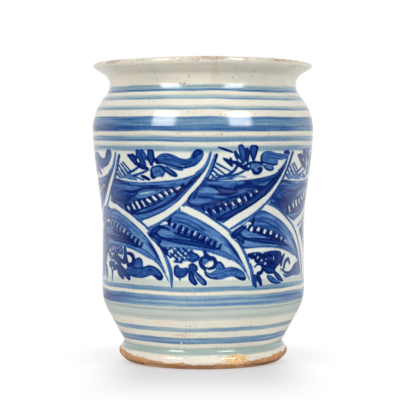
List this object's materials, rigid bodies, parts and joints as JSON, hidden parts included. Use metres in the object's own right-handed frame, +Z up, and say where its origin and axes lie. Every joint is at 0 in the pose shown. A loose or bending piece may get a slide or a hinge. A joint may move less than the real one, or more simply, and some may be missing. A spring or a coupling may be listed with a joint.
{
  "type": "albarello",
  "caption": "Squat waisted drug jar with a drawn-in neck, everted lip and turned foot, thrown in earthenware and coated in painted tin glaze.",
  "frame": {"origin": "centre of the foot ring on the surface the jar stands on", "axes": "+Z up along the jar's axis of revolution, -Y towards the viewer of the picture, +X to the viewer's right"},
  "size_m": [0.1788, 0.1786, 0.24],
  "materials": {
    "fired_clay": "unglazed low-fired earthenware, matt, reddish buff",
    "painted_tin_glaze": "glossy opaque cream-white tin glaze painted in cobalt blue",
    "lining_glaze": "glossy thin cream lining glaze"
  },
  "bodies": {
    "root": {"thrown_body": "fired_clay", "outer_tin_glaze": "painted_tin_glaze", "inner_glaze": "lining_glaze"}
  },
  "joints": []
}
